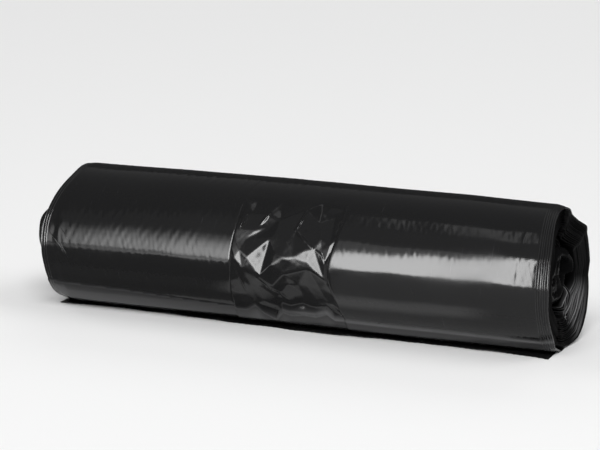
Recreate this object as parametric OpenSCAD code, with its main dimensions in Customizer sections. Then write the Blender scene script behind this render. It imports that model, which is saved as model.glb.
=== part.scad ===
// A coreless roll of black bin bags, lying on its side.
// The bags are one long perforated web. Its two side folds are thick and lie apart, so the roll has two
// firm halves and a loose, crumpled waist between them where only the outer film spans the gap.
// X runs along the roll, Z is up, and the front of the roll faces -Y. Units are millimetres.
// Angles go round the roll from +Y (back), through +Z (top) and -Y (front), to -Z (underside).

/* [Roll] */
// Width of the folded web, which is the length of the roll's firm surface
web_width = 350; // [300:5:450]
// Diameter of the wound roll
roll_d = 95; // [85:1:120]
// How far the roll's weight flattens its underside
sag = 1.5; // [0.8:0.1:3]

/* [Turns] */
// Radial distance from one visible turn to the next
turn_pitch = 2.6; // [2.2:0.1:4]
// Air between one turn and the next where they part at the ends
turn_gap = 0.8; // [0.5:0.1:1.2]
// Depth to which the turns stand apart at each end
turn_free = 4; // [2:0.5:10]
// How far the innermost turn has slid, out of the left end and into the right one
telescope = 19; // [8:1:22]
// How far the left rim leans, out at the lower front and in at the upper back
lean = 5; // [1:0.5:7]
// Radius of the loose centre, inside the innermost turn
centre_r = 16; // [12:0.5:20]

/* [Folded edges] */
// Number of film folds that show as steps round each end
fold_count = 6; // [2:1:8]
// Thickness of one folded stack of film
fold_step = 0.35; // [0.2:0.05:0.5]
// Distance along the roll from one fold edge to the next
fold_lap = 1.5; // [1:0.1:2.5]
// Distance from the right rim to the crease that runs round the roll
crease_from_rim = 20; // [15:1:40]
// Width of that crease
crease_w = 1.6; // [1:0.1:3]
// Depth of that crease
crease_depth = 0.6; // [0.3:0.1:1]

/* [Waist] */
// Width of the loose waist between the side folds
waist_w = 73; // [50:1:90]
// Distance of the waist's middle from the roll's middle, towards the left
waist_shift = 3; // [0:1:15]
// Drop from the firm surface to the loose film beside it
shoulder = 1.5; // [1:0.1:3]
// Length of the slope from the firm surface to the shoulder's edge
shoulder_run = 2; // [1:0.5:5]
// How far the loose film's highest folds stand out over its held edges
puff = 2; // [0:0.1:2]
// Depth of the deepest hollows in the crumpled film, from those folds
crumple = 4; // [1:0.5:8]
// Extra distance that the waist is drawn in along the underside
lift = 4; // [0:0.5:6]

/* [Loose end] */
// Height of the step at the free edge of the outermost bag
tail_step = 0.8; // [0.3:0.1:1.5]
// Width of the flat that the free edge leaves above itself, in degrees round the roll
tail_flat = 8; // [7:1:12]
// Place of the free edge round the roll, a little above the surface it lies on
tail_angle = 220; // [205:1:240]
// How far the last bag's open end lies out on the floor in front of the roll's middle
tail_reach = 26; // [18:1:40]
// How much further out it lies at the right than at the left
tail_skew = 7; // [0:1:15]
// How far it has slid to the left of the roll's rims
tail_shift = 2; // [0:1:12]
// Thickness of its film layers as they lie loosely on each other
tail_t = 0.8; // [0.5:0.1:1.5]

/* [Loose centre] */
// Number of pleats in the gathered film at the centre
pleats = 9; // [5:1:14]
// Depth of the pleats
pleat_depth = 3.5; // [2:0.5:5]
// How far the gathered film stands up from the innermost turn at the right end
tuft = 14; // [6:1:18]
// Air between the gathered film and the innermost turn
tuft_gap = 1.5; // [1:0.5:3]
// Depth to which that air goes in
tuft_free = 5; // [2:0.5:8]

/* [Hidden] */

film_black = [0.07, 0.07, 0.075];
roll_r = roll_d / 2;
axis_h = roll_r - sag;
half_w = web_width / 2;

// Radius of the web inside the last fold edge, which is the outermost visible turn
wound_r = roll_r - fold_count * fold_step;
// Turns that show between the fold edges and the loose centre
turns = floor((wound_r - centre_r) / turn_pitch);
centre_wall = wound_r - turn_pitch * turns;
steps_a_turn = 40;
// The side to which the left rim leans out, round the roll
lean_angle = 235;

waist_left = -waist_w / 2 - waist_shift;
waist_right = waist_w / 2 - waist_shift;
waist_rows = 12;
waist_sides = 28;
waist_bite = 4;
waist_edge = 0.5;
shoulder_r = roll_r - shoulder;
// A fixed seed for each kind of crumple, so that every build is the same
crumple_seed = 11;
shift_seed = 23;
// Past the surface, so that a cut leaves no skin
clear = 1;
// How far the gathered film goes on below the floor of its well
tuft_root = 2;

// Radius at which turn k begins, counted inwards from the fold edges
function turn_r(k) = wound_r - turn_pitch * k;
// How far turn k has slid along the roll, to the left. The outer turns have hardly moved.
function slide(k) = telescope * pow(k / (turns - 1), 4);
// Floor of the well round the loose centre
function well_x(side) = side * (half_w - tuft_free) - telescope;
// Radius of the middle of the gap between turns, after a degrees of winding inwards
function gap_r(a) = turn_r(1 + a / 360);

// The spiral gap between turns, as a thin closed strip round the roll's axis
function spiral_gap() =
    let (
        swept = 360 * (turns - 1),
        n = ceil(steps_a_turn * swept / 360),
        edge = function (i, side)
            let (r = gap_r(swept * i / n) + side * turn_gap / 2, a = tail_angle + swept * i / n)
            [r * cos(a), r * sin(a)]
    )
    concat([for (i = [0:n]) edge(i, 1)], [for (i = [n:-1:0]) edge(i, -1)]);

// Stretches a flat shape, drawn round the roll's axis, along the roll from x0 to x1
module along_roll(x0, x1) {
    translate([x0, 0, axis_h])
        rotate([90, 0, 90])
            linear_extrude(height = x1 - x0)
                children();
}

// Turns a profile of [radius, x] points round the roll's axis
module round_axis(profile) {
    translate([0, 0, axis_h])
        rotate([0, 90, 0])
            rotate_extrude($fn = 96)
                polygon(profile);
}

// The fold edges as steps in a profile, from the surface down to the rim.
// side is -1 at the left and 1 at the right.
function fold_steps(side) = [
    for (i = [0:fold_count])
        let (x = side * (half_w - (fold_count - i) * fold_lap), r = roll_r - i * fold_step)
        each i == 0 ? [[r, x]] : [[r, x - side * fold_lap], [r, x]]
];

// The ends of the turns as steps in a profile, from the rim in to the well round the loose centre
function turn_steps(side) = concat(
    [for (k = [0:turns - 1])
        let (x = side * half_w - (side < 0 ? max(lean, slide(k)) : slide(k)))
        each [[turn_r(k), x], [turn_r(k + 1), x]]],
    [[centre_wall, well_x(side)], [0, well_x(side)]]
);

// The firm half to the left of the waist. Its turns have slid out, the inner ones furthest.
module left_half() {
    difference() {
        round_axis(concat(
            [[0, waist_left], [shoulder_r, waist_left], [roll_r, waist_left - shoulder_run]],
            fold_steps(-1),
            turn_steps(-1)
        ));
        lean_cut();
    }
}

// What is taken off the left end, round the turns that have slid out, so that its rim leans
module lean_cut() {
    bundle_r = turn_r(turns - 2) + 0.6 * turn_pitch;
    difference() {
        translate([-half_w, 0, axis_h])
            rotate([lean_angle, 0, 0])
                rotate([0, 0, atan(lean / roll_r)])
                    translate([-telescope - roll_r, -roll_d, -roll_d])
                        cube([telescope + roll_r, 2 * roll_d, 2 * roll_d]);
        along_roll(-half_w - 2 * telescope - roll_r, -half_w + 2 * lean)
            circle(r = bundle_r, $fn = 96);
    }
}

// The firm half to the right of the waist, with a crease round it and a funnel
// where its turns have slid in
module right_half() {
    crease_x = half_w - crease_from_rim;
    crease_r = roll_r - crease_depth;
    round_axis(concat(
        [[0, waist_right], [shoulder_r, waist_right], [roll_r, waist_right + shoulder_run]],
        [[roll_r, crease_x], [crease_r, crease_x + crease_w / 2], [roll_r, crease_x + crease_w]],
        fold_steps(1),
        turn_steps(1)
    ));
}

// The air between turns, cut deep enough to leave them standing free at both ends
module turn_gaps() {
    along_roll(-half_w - telescope - clear, -half_w + turn_free)
        polygon(spiral_gap());
    along_roll(half_w - telescope - turn_free, half_w + clear)
        polygon(spiral_gap());
}

// The flat above the free edge of the outermost bag, which leaves that edge standing as a step
module tail_cut() {
    free_r = roll_r - tail_step;
    reach = roll_r * sin(tail_flat) * 2;
    translate([0, 0, axis_h])
        rotate([tail_angle, 0, 0])
            rotate([-tail_flat / 2, 0, 0])
                translate([-half_w - clear, free_r * cos(tail_flat / 2), -reach])
                    cube([web_width + 2 * clear, roll_r, reach + free_r * sin(tail_flat / 2)]);
}

// The open end of the last bag, which comes out from under the roll and lies on the floor
module tail_end() {
    left = -half_w - tail_shift;
    right = half_w - tail_shift;
    translate([0, 0, -clear])
        linear_extrude(height = clear + tail_t)
            polygon([[left, 0], [left, -tail_reach], [right, -tail_reach - tail_skew], [right, 0]]);
}

// The part of the roll that its weight flattens away
module underside_cut() {
    translate([-web_width, -roll_r, -roll_r])
        cube([2 * web_width, roll_d, roll_r]);
}

// How deep the film lies at each corner of the crumple, from 0 at the surface to 1 in a hollow
crumple_table = rands(0, 1, (waist_rows + 1) * waist_sides, crumple_seed);
// How far each corner lies from its even place, as a share of the spacing
shift_table = rands(-0.32, 0.32, (waist_rows + 1) * waist_sides, shift_seed);
function corner(i, j) = i * waist_sides + j % waist_sides;
// The film is held at both shoulders and free between them
function slack(t) = sin(180 * t);
// The underside is drawn in most
function under(a) = max(0, -sin(a));

// A corner of the crumpled film: row i across the waist, side j round it
function waist_point(i, j) =
    let (
        held = i == 0 || i == waist_rows,
        t = (i - 1) / (waist_rows - 2),
        row_w = waist_w / (waist_rows - 2),
        loose = i > 1 && i < waist_rows - 1,
        x = i == 0 ? waist_left - waist_bite
            : i == waist_rows ? waist_right + waist_bite
            : waist_left + waist_w * t + (loose ? row_w * shift_table[corner(i, j)] : 0),
        a = 360 / waist_sides * (j + (i % 2) / 2 + (loose ? shift_table[corner(waist_rows - i, j)] : 0)),
        drop = crumple * pow(crumple_table[corner(i, j)], 2) + lift * under(a) - puff,
        r = shoulder_r - waist_edge - (loose ? slack(t) * drop : 0)
    )
    [x, r * cos(a), axis_h + r * sin(a)];

// The loose film between the firm halves, crumpled into facets
module waist() {
    points = [for (i = [0:waist_rows]) for (j = [0:waist_sides - 1]) waist_point(i, j)];
    strips = [for (i = [0:waist_rows - 1]) for (j = [0:waist_sides - 1])
        let (
            near_a = corner(i, j), near_b = corner(i, j + 1),
            far_a = corner(i + 1, j), far_b = corner(i + 1, j + 1)
        )
        each i % 2 == 0
            ? [[near_a, far_a, near_b], [near_b, far_a, far_b]]
            : [[near_a, far_b, near_b], [near_a, far_a, far_b]]];
    left_cap = [for (j = [0:waist_sides - 1]) corner(0, j)];
    right_cap = [for (j = [waist_sides - 1:-1:0]) corner(waist_rows, j)];
    polyhedron(points, concat(strips, [left_cap, right_cap]));
}

// Gathered film at the centre: a pleated tuft that narrows and twists as it stands out of its well
module pleated_tuft(x0, x1) {
    r = centre_wall - tuft_gap;
    ring = [for (i = [0:4 * pleats - 1])
        let (pleat_r = r - pleat_depth * [0, 0.5, 1, 0.5][i % 4])
        [pleat_r * cos(90 * i / pleats), pleat_r * sin(90 * i / pleats)]];
    translate([x0, 0, axis_h])
        rotate([90, 0, 90])
            linear_extrude(height = x1 - x0, twist = 35, scale = 0.8, slices = 4)
                polygon(ring);
}

// The whole roll: one continuous web, so one solid
module bag_roll() {
    color(film_black)
        difference() {
            union() {
                left_half();
                right_half();
                waist();
                mirror([1, 0, 0])
                    pleated_tuft(-well_x(-1) - tuft_root, half_w + telescope);
                pleated_tuft(well_x(1) - tuft_root, half_w - telescope + tuft);
                tail_end();
            }
            turn_gaps();
            tail_cut();
            underside_cut();
        }
}

// The bulge at the left makes the roll longer on that side, so the whole is moved
// until its middle is at X = 0
translate([telescope / 2, 0, 0])
        bag_roll();
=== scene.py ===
"""A coreless roll of black bin bags: two firm halves, a crumpled waist, and turns at both ends."""

import math

import bpy
import numpy as np
from bpy.props import FloatProperty, FloatVectorProperty, IntProperty, PointerProperty
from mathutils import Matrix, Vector
from mathutils.geometry import delaunay_2d_cdt


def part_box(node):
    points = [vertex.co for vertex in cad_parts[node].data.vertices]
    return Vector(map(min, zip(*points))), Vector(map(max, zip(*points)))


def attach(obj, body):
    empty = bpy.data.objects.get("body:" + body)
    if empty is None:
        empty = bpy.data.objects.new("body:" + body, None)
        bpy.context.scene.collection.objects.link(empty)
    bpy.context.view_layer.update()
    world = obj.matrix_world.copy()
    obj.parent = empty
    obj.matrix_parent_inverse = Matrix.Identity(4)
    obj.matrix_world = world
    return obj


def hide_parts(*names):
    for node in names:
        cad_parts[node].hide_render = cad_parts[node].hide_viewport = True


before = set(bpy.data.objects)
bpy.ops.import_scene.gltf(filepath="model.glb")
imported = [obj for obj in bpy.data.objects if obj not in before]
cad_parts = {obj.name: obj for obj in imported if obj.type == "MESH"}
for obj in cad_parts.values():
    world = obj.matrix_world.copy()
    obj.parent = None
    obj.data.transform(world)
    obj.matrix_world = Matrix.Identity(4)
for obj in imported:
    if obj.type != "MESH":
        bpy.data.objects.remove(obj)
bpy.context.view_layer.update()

bl_info = {
    "name": "Bin bag roll",
    "version": (1, 0, 0),
    "blender": (4, 5, 0),
    "location": "View3D > Sidebar > Bag roll",
    "description": "Builds a roll of thin film bags, its floor and its light",
    "category": "Add Mesh",
}

MM = 0.001
NODE = "bag_roll"
# In the tables below, angles go round the roll from the back (+Y) over the top to the front (-Y) and
# the underside, in degrees, and distances along it are counted from the middle of the web, in
# millimetres.

# Points round the firm halves
AROUND = 384
# Steps in one turn of the film at each end
RIGHT_STEPS = 120
LEFT_STEPS = 110


class RollSizes(bpy.types.PropertyGroup):
    """The sizes of the roll that its pieces share."""
    web_width: FloatProperty(
        name="Web width", description="Width of the folded web, from rim to rim",
        default=0.350, unit="LENGTH")
    roll_d: FloatProperty(
        name="Roll diameter", description="Diameter of the firm halves", default=0.095, unit="LENGTH")
    waist_left: FloatProperty(
        name="Waist's left edge", description="Where the left half ends, from the middle of the web",
        default=-0.0385, unit="LENGTH")
    waist_right: FloatProperty(
        name="Waist's right edge", description="Where the right half ends, from the middle of the web",
        default=0.0335, unit="LENGTH")
    crease_from_rim: FloatProperty(
        name="Crease", description="Distance from the right rim to the crease round the roll",
        default=0.020, unit="LENGTH")
    fold_lap: FloatProperty(
        name="Fold lap", description="Distance from one fold edge to the next near the right rim",
        default=0.00142, unit="LENGTH")
    left_lap: FloatProperty(
        name="Left fold lap", description="Distance from one fold edge to the next near the left rim",
        default=0.0019, unit="LENGTH")
    fold_step: FloatProperty(
        name="Fold step", description="Drop at each fold edge", default=0.00028, unit="LENGTH")
    tail_step: FloatProperty(
        name="Free edge's step", description="Height of the free edge of the outermost film",
        default=0.0006, unit="LENGTH")
    telescope: FloatProperty(
        name="Telescope", description="How far the innermost turns have slid out at the left",
        default=0.019, unit="LENGTH")
    sheet_facing: FloatProperty(
        name="Hanging film's facing",
        description="The way the film below the free edge faces, round the roll",
        default=math.radians(213.5), subtype="ANGLE")
    right_folds: IntProperty(
        name="Right fold edges", description="Fold edges that show near the right rim", default=6)
    left_folds: IntProperty(
        name="Left fold edges", description="Fold edges that show near the left rim", default=3)


class FilmLook(bpy.types.PropertyGroup):
    """The colour and shine of the film."""
    colour: FloatVectorProperty(
        name="Film colour", description="Colour of the film", subtype="COLOR", size=3,
        default=(0.0088, 0.0088, 0.0092))
    dust_colour: FloatVectorProperty(
        name="Scuff colour", description="Colour of the pale scuffs", subtype="COLOR", size=3,
        default=(0.035, 0.035, 0.037))
    # The milky colour is a painted sheen: mixed in by the attribute pale, it stands for reflection and
    # highlights on the film.
    painted_sheen_colour: FloatVectorProperty(
        name="Milky colour", description="Colour of the film where it hangs loose and looks milky",
        subtype="COLOR", size=3, default=(0.32, 0.32, 0.326))
    shine: FloatProperty(
        name="Roughness", description="Roughness of the clean film", default=0.11, min=0.02, max=0.6)
    haze: FloatProperty(
        name="Haze", description="How much rougher the hazy patches are", default=0.12, min=0, max=0.5)


class StudioLook(bpy.types.PropertyGroup):
    """The floor and the light."""
    floor_colour: FloatVectorProperty(
        name="Floor colour", description="Colour of the pale floor", subtype="COLOR", size=3,
        default=(0.86, 0.86, 0.86))
    ambient: FloatProperty(
        name="Ambient", description="Level of the light from all round", default=0.21, min=0)


def sizes():
    """The roll's sizes in millimetres and its angle in radians. Its radius and half its width follow
    from them, and the frame gives the height of its axis and the place of the web's middle along X."""
    s = bpy.context.scene.roll_sizes
    names = ("web_width", "roll_d", "waist_left", "waist_right", "crease_from_rim", "fold_lap",
             "left_lap", "fold_step", "tail_step", "telescope")
    out = {n: getattr(s, n) / MM for n in names}
    out.update(sheet_facing=s.sheet_facing, right_folds=s.right_folds, left_folds=s.left_folds)
    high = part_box(NODE)[1]
    out["half"] = out["web_width"] / 2
    out["radius"] = out["roll_d"] / 2
    out["axis_z"] = high.z / MM - out["radius"]
    out["shift"] = high.x / MM - out["half"]
    return out


def ripples(x, a, seed, count, lengths, turns, height):
    """Sum of seeded cosine waves over the roll. Each runs along the roll with a random length and round
    it a whole number of times, so that it closes on itself. height is about the rms of the sum."""
    rng = np.random.default_rng(seed)
    total = 0.0
    for _ in range(count):
        length = rng.uniform(*lengths) * rng.choice((-1, 1))
        around = rng.integers(turns[0], turns[1] + 1)
        total = total + np.cos(2 * np.pi * x / length + around * a + rng.uniform(0, 2 * np.pi))
    return total * height * math.sqrt(2 / count)


def ease(t):
    """0 below 0, 1 above 1 and a smooth S between."""
    t = np.clip(t, 0, 1)
    return t * t * (3 - 2 * t)


def around_roll(columns=AROUND):
    """Even steps round the roll, in radians, without the last one, which is the first again."""
    return np.linspace(0, 2 * np.pi, columns, endpoint=False)


def hill(degrees, start, stop, rise, fall):
    """1 from start + rise to stop - fall round the roll, 0 outside start and stop, and a smooth S
    between."""
    along = (degrees - start) % 360
    span = (stop - start) % 360
    return ease(along / rise) * ease((span - along) / fall) * (along < span)


# Blunt corners of the right rim at its back: angle, and how far the rim stands out there
RIM_CORNERS = (
    (-96, 0), (-84, 1.6), (-72, 3.3), (-42, 3.0), (-27, 1.7), (-11, 0.4), (1, 1.3), (14, 0.5), (28, 0.2),
    (35, 1.6), (41, -1.3), (52, -1.6), (66, 0),
)


def rim_at(s, side, a):
    """Where the rim lies, as a distance from the middle of the web. The left rim leans: out at the
    front and the underside, in at the upper back. The right one dips in over the top, and straight runs
    between blunt corners take it round its back, where it stands out lowest down."""
    deg = np.degrees(a) % 360
    if side > 0:
        corners = np.interp((deg + 180) % 360 - 180, *np.array(RIM_CORNERS).T)
        dip = 5.0 * hill(deg, 30, 160, 22, 75)
        return s["half"] + 0.6 - dip + corners
    lean = 10.0 * hill(deg, 100, 70, 68, 150)
    return s["half"] - 5.8 + lean


def shoulder_at(s, side, a):
    """Where a firm half ends beside the waist, as a place along the roll. The right one bulges at the
    front, by a bell round 178 degrees, and the left one is askew, by a cosine."""
    deg = np.degrees(a) % 360
    if side > 0:
        return s["waist_right"] - 6.3 * np.exp(-(((deg - 178) / 28) ** 2))
    return s["waist_left"] + 3.6 * np.cos(a - math.radians(55))


def held_down(a):
    """How much lower the loose film lies than the firm halves, from 0 to 1. Over the top they run on as
    one."""
    return 1 - 0.93 * hill(np.degrees(a) % 360, 40, 140, 30, 24)


# The free edge of the outermost film runs askew: distance along the roll, angle round it
FREE_EDGE = (
    (-180, 214.3), (-118, 217.5), (-80, 221.3), (-40, 224.3), (0, 226.0), (55, 227.5), (120, 229.6),
    (180, 231.0),
)


def free_edge_at(x):
    """Angle in radians of the free edge at each place along the roll, by straight runs between its
    points."""
    line = np.array(FREE_EDGE)
    return np.radians(np.interp(x, line[:, 0], line[:, 1]))


# Top of the hanging film under the waist, as a distance along and a distance below the free edge's line
SHEET_TOP = (
    (-44, 0.0), (-36, 0.2), (-33, -1.0), (-27.5, -5.0), (-23, 1.5), (-15, 6.5), (-9, -1.5), (-4, 0.6),
    (5, -1.2), (14, -0.6), (22.5, -4.5), (27, 0.3), (34, 0.0),
)


def sheet_top_at(s, x):
    """Angle in radians at which the hanging film begins: the free edge, and under the waist its own
    line."""
    line = np.array(SHEET_TOP)
    return free_edge_at(x) + np.interp(x, line[:, 0], line[:, 1], left=0, right=0) / s["radius"]


def hanging_film(s, x, a, r, base, rise=0.018):
    """Adds the film that hangs from the free edge to the floor to the radius r. Below that edge it
    leaves the roll as a plane with one facing, radius d / cos(angle - facing), and near its foot a
    second plane takes it under. The two join by a soft minimum, -soft * log(exp(-fall / soft) +
    exp(-under / soft)), which takes the place of r where it is the larger one. base is the radius at
    the free edge, and the film comes in over rise, an angle in radians."""
    edge = free_edge_at(x)
    top = sheet_top_at(s, x)
    facing = s["sheet_facing"]
    foot = np.radians(234.5 + 0.0123 * x + 1.2 * ease((x - 20) / 120))
    foot_facing = math.radians(246)
    fall = base * np.cos(edge - facing) / np.maximum(np.cos(a - facing), 0.3)
    foot_r = base * np.cos(edge - facing) / np.cos(foot - facing)
    under = foot_r * np.cos(foot - foot_facing) / np.maximum(np.cos(a - foot_facing), 0.3)
    soft = 0.22
    sheet = -soft * np.log(np.exp(-(fall - base) / soft) + np.exp(-(under - base) / soft)) + base
    begun = ease((a - top + rise - 0.01) / rise)
    off_left_rim = ease((x + 179) / 13)
    shown = begun * (a < math.radians(264)) * off_left_rim
    return r + shown * (np.maximum(sheet, r) - r)


def painted_sheen(s, x, a):
    """How much the film is painted lighter round the free edge, from 0 to 1. Above that edge it is half
    of a bell, a painted sheen, and below it a level that grows with the angle, a painted reflection of
    the floor, with a narrow bell on the edge, a painted highlight. All of them are stronger at the
    right, and it ends 40 degrees below the edge."""
    below = np.degrees(a - sheet_top_at(s, x))
    right = ease((x + 60) / 100)
    above = (0.08 + 0.56 * right) * np.exp(-(np.minimum(below, 0) / (1.4 + 1.8 * right)) ** 2)
    on_edge = (0.14 + 0.48 * right) * np.exp(-(below / 1.1) ** 2)
    sheet = 0.13 + 0.026 * np.clip(below, 0, 14) + 0.05 * right + on_edge
    return np.where(below < 0, above, sheet) * (below < 40)


def on_roll(s, x, r, a):
    """Points at distance x along the roll, r from its axis and angle a round it, in metres."""
    x, r, a = np.broadcast_arrays(x, r, a)
    return np.stack([x + s["shift"], r * np.cos(a), s["axis_z"] + r * np.sin(a)], -1) * MM


def settle(points, low):
    """Presses what would sink below height low into a flat spot there. Under 0.4 mm above it, the
    height left falls off as an exponential instead of a straight line, so that the spot's edge is
    soft."""
    z = points[..., 2]
    soft = 0.4 * MM
    gap = z - low
    points[..., 2] = low + np.where(gap > soft, gap, soft * np.exp(np.clip(gap / soft - 1, -50, 0)))
    return points


def grid_piece(name, points):
    """A closed mesh over a grid of points: its columns join on themselves, and a fan of triangles to a
    point in its middle closes the first row and the last."""
    rows, cols = points.shape[:2]
    index = np.arange(rows * cols).reshape(rows, cols)
    near, far = index[:-1], index[1:]
    quads = np.stack([near, np.roll(near, -1, 1), np.roll(far, -1, 1), far], -1).reshape(-1, 4)
    verts = np.vstack([points.reshape(-1, 3), points[0].mean(0), points[-1].mean(0)])
    first, last = rows * cols, rows * cols + 1
    a, b = index[0], index[-1]
    fans = np.vstack([
        np.stack([np.full(cols, first), np.roll(a, -1), a], -1),
        np.stack([b, np.roll(b, -1), np.full(cols, last)], -1)])
    return mesh_piece(name, verts, quads, fans)


def signed_volume(verts, quads, fans):
    """Volume inside the faces, negative when they point inwards: the sum of p . (q x r) / 6 over
    triangles."""
    tris = np.vstack([quads[:, [0, 1, 2]], quads[:, [0, 2, 3]], fans])
    p, q, r = verts[tris[:, 0]], verts[tris[:, 1]], verts[tris[:, 2]]
    return np.einsum("ij,ij->i", p, np.cross(q, r)).sum() / 6


def mesh_piece(name, verts, quads, fans):
    """An object at the origin from vertices, quads and triangles, with its faces turned outwards."""
    if signed_volume(verts, quads, fans) < 0:
        quads, fans = quads[:, ::-1], fans[:, ::-1]
    mesh = bpy.data.meshes.new(name)
    mesh.vertices.add(len(verts))
    mesh.vertices.foreach_set("co", np.ascontiguousarray(verts, np.float32).ravel())
    corners = np.concatenate([quads.ravel(), fans.ravel()]).astype(np.int32)
    mesh.loops.add(len(corners))
    mesh.loops.foreach_set("vertex_index", corners)
    starts = np.concatenate([np.arange(len(quads)) * 4, len(quads) * 4 + np.arange(len(fans)) * 3])
    mesh.polygons.add(len(starts))
    mesh.polygons.foreach_set("loop_start", starts.astype(np.int32))
    mesh.update(calc_edges=True)
    mesh.validate()
    mesh.shade_smooth()
    piece = bpy.data.objects.new(name, mesh)
    bpy.context.scene.collection.objects.link(piece)
    return piece


def vertex_places(piece, s):
    """Each vertex's distance along the web, its height and its angle round the roll, in mm and
    radians."""
    co = np.empty(len(piece.data.vertices) * 3, np.float32)
    piece.data.vertices.foreach_get("co", co)
    x, y, z = co.reshape(-1, 3).T / MM
    return x - s["shift"], z, np.arctan2(z - s["axis_z"], y) % (2 * np.pi)


def write_painted_light(piece, level):
    """Stores how much light is painted on the film at each vertex, from 0 to 1, as painted sheen,
    reflection and highlights, in the attribute that its material reads."""
    mark = piece.data.attributes.new("pale", "FLOAT", "POINT")
    mark.data.foreach_set("value", level.astype(np.float32))


def paint_sheen(piece, s, row_glint=None):
    """Paints reflection and highlight round the free edge as a lighter colour, fading out at the
    floor. Rows of painted highlight, when given, add to it row by row.
    """
    x, z, a = vertex_places(piece, s)
    pale = painted_sheen(s, x, a) * ease((z - 0.5) / 1.5)
    if row_glint is not None:
        pale[:len(row_glint) * AROUND] += np.repeat(row_glint, AROUND)
    write_painted_light(piece, 0.5 * pale)


def dress(piece, material):
    """Gives the piece its film, ties it to the roll's body and hides the node's imported part."""
    piece.data.materials.append(material)
    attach(piece, "root")
    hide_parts(NODE)


# The firm halves

def half_radius(s, x, a, side):
    """Radius of a firm half: a cylinder that thins a little towards its rim, less a step that grows
    along the outermost turn and ends at the free edge, plus a low bead above that edge and soft waves.
    The left half is thicker over the top, by a sine, and has a belly at its front, a bell round 186
    degrees."""
    deg = np.degrees(a) % 360
    if side > 0:
        out = (x - s["waist_right"]) / (s["half"] - s["waist_right"])
        base = s["radius"] + 0.9 * (1 - out) - 0.4 * out
    else:
        out = (s["waist_left"] - x) / (s["half"] + s["waist_left"])
        base = s["radius"] + 0.7 * (1 - out) * np.sin(a) - 0.2 * out
        base = base + 0.8 * np.exp(-(((deg - 186) / 17) ** 2))
    turn = ((a - free_edge_at(x) - 0.004 * np.sin(x / 23.0)) / (2 * np.pi)) % 1.0
    edge = s["tail_step"] * ease((turn - 0.9978) / 0.0022)
    spiral = s["tail_step"] * turn - edge
    above = np.minimum((turn + 0.5) % 1.0 - 0.5, 0) * 360
    bead = 0.3 * np.exp(-((above / 3.2) ** 2)) * (turn > 0.5)
    waves = (ripples(x, a, 3, 7, (90, 220), (1, 4), 0.13)
             + ripples(x, a, 5, 14, (18, 70), (2, 12), 0.03)
             + ripples(x, a, 7, 26, (60, 260), (30, 90), 0.003)
             + ripples(x, a, 9, 30, (2.8, 8), (8, 34), 0.009 if side > 0 else 0.020))
    plain = base - spiral + bead * ease((x + 20) / 60) + waves
    return hanging_film(s, x, a, plain, base + 0.5 * waves)


# The section of a fold edge, towards the rim: distance along from the edge, then the share of the
# bead's height above the film or, after the bead, of the drop below it. The pale shares paint a
# highlight along the bead.
FOLD_BEAD = ((-0.62, 0.0), (-0.4, 0.35), (-0.2, 0.85), (-0.06, 1.0), (0.02, 0.7))
FOLD_DROP = ((0.07, 0.6), (0.13, 1.0))
FOLD_GLINT = (0.0, 0.03, 0.10, 0.13, 0.06, 0.0, 0.0)


def fold_rows(s, side, start, count, lap, a, r_of):
    """Rows for the fold edges that step down to a rim, lap apart and a little wavy. Each edge has a
    small bead that stands up, then a drop, and the drops add up."""
    rows = []
    drop = 0.0
    for k in range(count):
        wobble = ripples(start + k * lap, a, 40 + 7 * k + side, 5, (40, 90), (1, 9), 0.12)
        x = start + side * k * lap + wobble
        bead = 0.17 + 0.04 * ripples(x, a, 60 + k, 4, (40, 90), (2, 11), 1.0)
        fall = s["fold_step"] * (1 + 0.3 * ripples(x, a, 80 + k, 4, (40, 90), (2, 7), 1.0))
        base = r_of(x) - drop
        rows += [(x + side * dx, base + share * bead) for dx, share in FOLD_BEAD]
        rows += [(x + side * dx, base - share * fall) for dx, share in FOLD_DROP]
        drop = drop + fall
    return rows


# Rows over the rounded shoulder, and along the surface of a firm half
SHOULDER_ROWS = 12
SURFACE_ROWS = 165
# Height of the flat spot that a firm half rests on
FIRM_REST = 0.35
# From the last fold edge in behind the rim: distance along towards the rim, and the drop from it
RIM_LIP = ((0.12, 0.12), (0.12, 0.4), (-0.3, 0.7), (-3.0, 0.9), (-16.0, 1.2))
# The wall behind the rim, out of sight: distance along, and radius
RIM_WALL = ((-20.0, 24.0), (-21.0, 4.0))


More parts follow.
